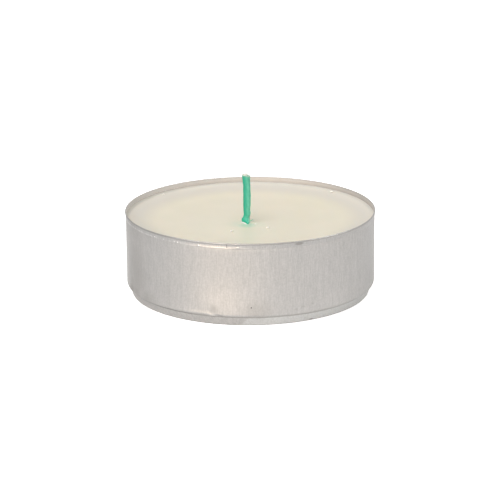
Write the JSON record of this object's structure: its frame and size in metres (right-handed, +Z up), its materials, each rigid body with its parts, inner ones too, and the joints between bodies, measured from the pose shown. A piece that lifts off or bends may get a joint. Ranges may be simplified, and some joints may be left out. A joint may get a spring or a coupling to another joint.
{
  "type": "tea light candle",
  "caption": "Large flat tea light: a drawn aluminium cup with a folded rim and a stacking foot, filled with cast wax around a green waxed wick.",
  "frame": {"origin": "on the cup's axis, on the plane that the foot's standing ring rests on", "axes": "+Z up along the cup's axis and the wick; the side that the picture shows faces -Y"},
  "size_m": [0.058, 0.058, 0.0281],
  "materials": {
    "cup_aluminium": "drawn sheet, satin, with fine vertical draw marks",
    "candle_wax": "cream paraffin wax, smooth and slightly translucent",
    "green_wick": "braided cotton soaked in green wax, satin",
    "tinned_steel": "thin tin-plated steel, pressed"
  },
  "bodies": {
    "root": {"cup": "cup_aluminium", "wax": "candle_wax", "wick": "green_wick", "wick_sustainer": "tinned_steel"}
  },
  "joints": []
}
